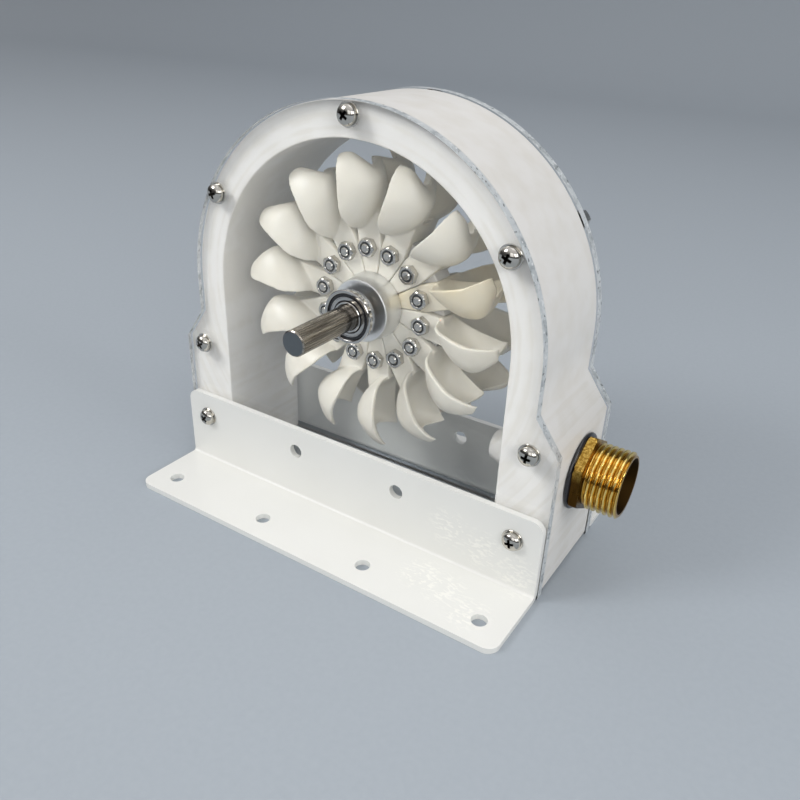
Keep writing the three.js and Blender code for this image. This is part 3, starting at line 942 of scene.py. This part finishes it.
def inlet_pipe():
    """Pipe end with its thread outside and a bore in painted shade."""
    profile = [(NECK_BORE, 60.0), (NECK, 60.0), (NECK, HEX_FROM), (THREAD_ROOT, HEX_TO),
               (THREAD_ROOT, THREAD_FROM)]
    steps = int((THREAD_END - THREAD_FROM) / THREAD_PITCH * THREAD_RINGS)
    for i in range(1, steps + 1):
        at = THREAD_FROM + (THREAD_END - THREAD_FROM) * i / steps
        profile.append((pipe_thread(at), at))
    profile += [(BORE + 0.5, THREAD_END), (BORE + 0.2, THREAD_END - 0.4), (BORE, HEX_TO - 1.0),
                (NECK_BORE, HEX_TO - 4.0)]
    pipe = turned_body("pipe", profile, 120, "X", INLET_LINE, 40.0)
    paint(pipe, thread_brass(), bore_shade_brass())
    # Faces that look into the bore take the painted bore shade
    for face in pipe.data.polygons:
        away = Vector((0, face.center.y, face.center.z - INLET_Z * MM))
        if away.length < (BORE + 0.4) * MM and face.normal.dot(away) < 0:
            face.material_index = 1
    return pipe


def inlet_hexagon():
    """Forged hexagon with slightly broken edges."""
    flats = 2 * HEX_CORNER * math.cos(math.radians(30))
    edge = [(hexagon(flats, HEX_CORNER - cut, 30.0), step) for step, cut in HEX_EDGE]
    rows = [(8.6, HEX_FROM), *((shape, HEX_FROM + step) for shape, step in edge),
            *((shape, HEX_TO - step) for shape, step in edge[::-1]), (8.6, HEX_TO)]
    return paint(turned_body("hexagon", rows, 240, "X", INLET_LINE, 25.0), forged_brass())


def pipe_thread(at):
    """Radius of the half inch pipe thread at a place along it, by angle."""
    def radius(turn):
        part = ((THREAD_END - at) / THREAD_PITCH - turn / (2 * math.pi)) % 1.0
        rise = min(max((1 - abs(2 * part - 1) - FLANK_FROM) / FLANK, 0.0), 1.0)
        start_up = min(1.0, (at - THREAD_FROM) / THREAD_START)
        lead_in = THREAD_ROOT + 0.2 + (THREAD_END - at) * 1.3
        return min(THREAD_ROOT + THREAD_DEPTH * rise * start_up, lead_in)
    return radius


class PELTON_OT_bearings(bpy.types.Operator):
    """Builds the two flanged ball bearings"""

    bl_idname = "pelton.bearings"
    bl_label = "Bearings"

    def execute(self, context):
        steel, black = bearing_steel(), seal_black()
        for side, name in SIDES:
            for part, node, body, slot, profile in BEARING_PARTS:
                piece = turned_body(f"{name}_{part}", mirrored(profile, side), 96, "Y", SHAFT_LINE)
                material = black if slot == "bearing_shield_steel" else steel
                dress(piece, body, material, [f"{name}_{node}"] if node else ())
        return {"FINISHED"}


class PELTON_OT_shaft_and_hubs(bpy.types.Operator):
    """Builds the ground shaft and the turned hubs"""

    bl_idname = "pelton.shaft_and_hubs"
    bl_label = "Shaft and hubs"

    def execute(self, context):
        shaft = turned_body("steel_shaft", SHAFT_PROFILE, 96, "Y", SHAFT_LINE)
        dress(shaft, "rotor", ground_steel(), ["shaft"])
        shaft.data.materials.append(turned_end())
        for face in shaft.data.polygons:
            if abs(face.normal.y) > 0.9:
                face.material_index = 1
        silver = turned_aluminium()
        for side, name in SIDES:
            profile = mirrored(HUB_PROFILE, side)
            hub = turned_body(f"{name}_hub_collar", profile, 160, "Y", SHAFT_LINE)
            dress(hub, "rotor", silver, [f"{name}_hub"])
        return {"FINISHED"}


class PELTON_OT_runner_disc(bpy.types.Operator):
    """Builds the runner disc with its boss"""

    bl_idname = "pelton.runner_disc"
    bl_label = "Runner disc"

    def execute(self, context):
        disc = turned_body("runner_disc_body", DISC_PROFILE, 128, "Y", SHAFT_LINE)
        white = printed_white(context.scene.pelton_looks)
        dress(disc, "rotor", white, ["runner_disc"])
        return {"FINISHED"}


class PELTON_OT_buckets(bpy.types.Operator):
    """Builds the ring of double-cup buckets"""

    bl_idname = "pelton.buckets"
    bl_label = "Buckets"

    def execute(self, context):
        pattern = paint(bucket_body("bucket_pattern"), cast_cream(context.scene.pelton_looks))
        hub = Matrix.Translation((CENTRE_X * MM, 0, SHAFT_Z * MM))
        for i in range(BUCKETS):
            piece = link(f"bucket_cup_{i + 1:02d}", pattern.data)
            turn = -math.radians(FIRST_BUCKET - i * BUCKET_STEP)
            piece.matrix_world = hub @ Matrix.Rotation(turn, 4, "Y")
            dress(piece, "rotor", None, [f"bucket_{i + 1:02d}"])
        bpy.data.objects.remove(pattern)
        return {"FINISHED"}


def pan_head(width, metals, place_at):
    """Pan head with a cross recess, made to point to -Y from a seat at Y = 0, then placed."""
    r = width / 2
    profile = [(0, 0), (r - 0.15, 0), (r, -0.15), (r, -HEAD_RIM)]
    profile += [(r * a, -HEAD_RIM - HEAD_DOME * b) for a, b in arc(1.0, (0, 0), 9, 81, 8)]
    profile.append((0, -HEAD_RIM - HEAD_DOME))
    head = turned_body("head", profile, 64, "Y", (0, 0, 0), 40.0)
    arms = []
    outline = [(x * CROSS_REACH, z * CROSS_HALF) for x, z in ((-1, -1), (1, -1), (1, 1), (-1, 1))]
    for degrees in (0, 90):
        arm = slab("arm", outline, -CROSS_TOP, -CROSS_FLOOR)
        for vertex in arm.data.vertices:
            if vertex.co.y > (-CROSS_FLOOR - 0.1) * MM:
                vertex.co.x *= 0.35
                vertex.co.z *= 0.6
        arm.data.transform(Matrix.Rotation(math.radians(degrees), 4, "Y"))
        arms.append(arm)
    join_or_cut(head, arms)
    shade(head.data, 35.0)
    paint(head, *metals)
    # Faces in the cross recess take the dark steel: painted shade in the recess.
    for face in head.data.polygons:
        place = face.center / MM
        around = math.hypot(place.x, place.z)
        surface = -HEAD_RIM - HEAD_DOME * math.sqrt(max(0.0, 1 - (around / r) ** 2))
        if around < CROSS_REACH + 0.05 and surface + 0.15 < place.y < -0.3:
            face.material_index = 1
    head.data.transform(place_at)
    return head


def hex_nut(height, seat, outward, metals, corner):
    """Nut on a seat at a place on Y, standing out by its height, with chamfered corners."""
    most = NUT_FLATS / 2 / math.cos(math.radians(30))
    rows = [(hexagon(NUT_FLATS, most - cut), at) for cut, at in (
        (0.5, 0.0), (0.05, 0.25), (0.05, height - 0.42), (0.3, height - 0.2), (0.62, height))]
    mouth = [(2.05, height), (1.95, height - 0.1), (1.55, height - 0.7), (1.35, height - 0.8)]
    profile = [(r, seat + outward * y) for r, y in [(1.35, 0.0), *rows, *mouth]]
    nut = paint(turned_body("nut", profile, 72, angle=24.0), *metals)
    nut.data.transform(Matrix.Rotation(math.radians(corner), 4, "Y"))
    # Faces in the nut's mouth take the dark steel: painted shade in the thread mouth.
    for face in nut.data.polygons:
        place = face.center / MM
        inside = math.hypot(place.x, place.z) < 1.98
        if inside and (place.y - seat) * outward > 0.1:
            face.material_index = 1
    return nut


class PELTON_OT_housing_screws(bpy.types.Operator):
    """Places the screws, washers and nuts that hold the plates and the brackets"""

    bl_idname = "pelton.housing_screws"
    bl_label = "Housing screws"

    def execute(self, context):
        metals = (stainless(), recess_shade_steel())
        width = context.scene.pelton_sizes.head_width / MM
        places = [(x, z, PLATE_OUT) for x, z in SCREW_PLACES]
        places += [(x, z, BRACKET_HEEL + BRACKET_SHEET) for x, z in BRACKET_SCREWS]
        for number, (x, z, face) in enumerate(places, 1):
            low, high = face + WASHER_TOP, face + SPRING_TOP
            turn = Matrix.Rotation(math.radians(HEAD_TURN * number % 90), 4, "Y")
            head = pan_head(width, metals, Matrix.Translation((0, -low * MM, 0)) @ turn)
            stem = rod(STEM_RADIUS, -(face + 0.6), face + STEM_END, "Y", (0, 0, 0), 32)
            split = turned_body("spring_washer", [
                (1.6, low), (2.75, low), (2.75, high), (1.6, high)], 48)
            nut = hex_nut(NUT_HEIGHT, high, 1, metals, NUT_TURN * number % 60)
            parts = [head, paint(stem, metals[0]), paint(split, metals[0]), nut]
            for side in (-1, 1):
                profile = mirrored([(r, face + y) for r, y in WASHER_PROFILE], side)
                parts.append(paint(turned_body("washer", profile, 64), metals[0]))
            screw = merge(f"housing_screw_{number}", parts)
            screw.matrix_world = Matrix.Translation(((CENTRE_X + x) * MM, 0, z * MM))
            dress(screw, "housing")
        return {"FINISHED"}


class PELTON_OT_runner_bolts(bpy.types.Operator):
    """Places the bolts that hold the bucket roots on the disc"""

    bl_idname = "pelton.runner_bolts"
    bl_label = "Runner bolts"

    def execute(self, context):
        metals = (stainless(), recess_shade_steel())
        behind = Matrix.Translation((0, TAB_TO * MM, 0)) @ Matrix.Rotation(math.pi, 4, "Z")
        for i in range(BUCKETS):
            nut = hex_nut(BOLT_NUT_HEIGHT, -TAB_TO, -1, metals, BOLT_TURN * i % 60)
            stem = paint(turned_body("stem", BOLT_PROFILE, 32), metals[0])
            bolt = merge(f"runner_bolt_{i + 1:02d}", [
                nut, stem, pan_head(BOLT_HEAD, metals, behind)])
            turn = math.radians(FIRST_BUCKET - i * BUCKET_STEP)
            x, z = BOLT_CIRCLE * math.cos(turn), BOLT_CIRCLE * math.sin(turn)
            bolt.matrix_world = Matrix.Translation(((CENTRE_X + x) * MM, 0, (SHAFT_Z + z) * MM))
            dress(bolt, "rotor")
        return {"FINISHED"}


class PELTON_OT_stage(bpy.types.Operator):
    """Sets up the pale floor, the soft lights and the camera"""

    bl_idname = "pelton.stage"
    bl_label = "Floor, light and camera"

    def execute(self, context):
        scene = context.scene
        bend = arc(FLOOR_BEND, (FLOOR_BACK, FLOOR_BEND), -90, 0, 9)
        profile = [(FLOOR_FRONT, 0.0), *bend, (FLOOR_BACK + FLOOR_BEND, FLOOR_TOP)]
        verts = [(x, y, z) for y, z in profile for x in (-FLOOR_HALF, FLOOR_HALF)]
        faces = [(2 * i, 2 * i + 1, 2 * i + 3, 2 * i + 2) for i in range(len(profile) - 1)]
        mesh = bpy.data.meshes.new("studio_floor")
        mesh.from_pydata(verts, [], faces)
        mesh.polygons.foreach_set("use_smooth", [True] * len(faces))
        floor = paint(link("studio_floor", mesh), studio_paper(scene.pelton_looks))
        soft_room(scene)
        for name, place, aim, size, share in LAMPS:
            lamp(name, place, aim, size, scene.pelton_sizes.key_power * share)
        photo_camera(scene)
        return {"FINISHED"}


def soft_room(scene):
    """Even light from above that fades out towards the floor."""
    world = bpy.data.worlds.new("Soft room")
    scene.world = world
    world.use_nodes = True
    tree = world.node_tree
    facing = add(tree, "TexCoord").outputs["Generated"]
    height = add(tree, "SeparateXYZ", {0: facing}).outputs["Z"]
    background = tree.nodes["Background"]
    background.inputs["Color"].default_value = linear("#ECEBEC")
    tree.links.new(ramp(tree, height, 0.2, 0.75, 0.08, 1.0), background.inputs["Strength"])
    scene.view_settings.view_transform = "Standard"


def lamp(name, place, aim, size, power):
    """Square soft light that points at the object."""
    light = bpy.data.lights.new(name, "AREA")
    light.shape = "SQUARE"
    light.size = size
    light.energy = power
    holder = link(name, light)
    holder.location = place
    away = Vector(aim) - Vector(place)
    holder.rotation_euler = away.to_track_quat("-Z", "Y").to_euler()


def photo_camera(scene):
    """Camera at the place that was fitted to the photograph."""
    eye = bpy.data.cameras.new("view")
    eye.lens = VIEW_LENS
    eye.sensor_width = 36.0
    eye.clip_start = 0.01
    camera = link("view", eye)
    place = Matrix.Translation(Vector(VIEW_FROM) * MM)
    for degrees, axis in ((VIEW_SIDE, "Z"), (90 - VIEW_RISE, "X"), (VIEW_ROLL, "Z")):
        place @= Matrix.Rotation(math.radians(degrees), 4, axis)
    camera.matrix_world = place
    scene.camera = camera


class PELTON_PT_wheel(bpy.types.Panel):
    """Sidebar list of the wheel's pieces and finishes"""

    bl_idname = "PELTON_PT_wheel"
    bl_label = "Pelton wheel"
    bl_space_type = "VIEW_3D"
    bl_region_type = "UI"
    bl_category = "Pelton"

    def draw(self, context):
        for step in STEPS:
            self.layout.operator(step.bl_idname)
        for group in (context.scene.pelton_sizes, context.scene.pelton_looks):
            box = self.layout.box()
            for name in group.__annotations__:
                box.prop(group, name)


STEPS = (
    PELTON_OT_housing_frame,
    PELTON_OT_clear_plates,
    PELTON_OT_brackets,
    PELTON_OT_inlet,
    PELTON_OT_bearings,
    PELTON_OT_shaft_and_hubs,
    PELTON_OT_runner_disc,
    PELTON_OT_buckets,
    PELTON_OT_housing_screws,
    PELTON_OT_runner_bolts,
    PELTON_OT_stage,
)
CLASSES = (PELTON_PG_looks, PELTON_PG_sizes, *STEPS, PELTON_PT_wheel)


def register():
    for item in CLASSES:
        bpy.utils.register_class(item)
    bpy.types.Scene.pelton_looks = bpy.props.PointerProperty(type=PELTON_PG_looks)
    bpy.types.Scene.pelton_sizes = bpy.props.PointerProperty(type=PELTON_PG_sizes)


def unregister():
    del bpy.types.Scene.pelton_sizes
    del bpy.types.Scene.pelton_looks
    for item in reversed(CLASSES):
        bpy.utils.unregister_class(item)


def main():
    register()
    for step in STEPS:
        group, action = step.bl_idname.split(".")
        getattr(getattr(bpy.ops, group), action)()


if __name__ == "__main__":
    main()
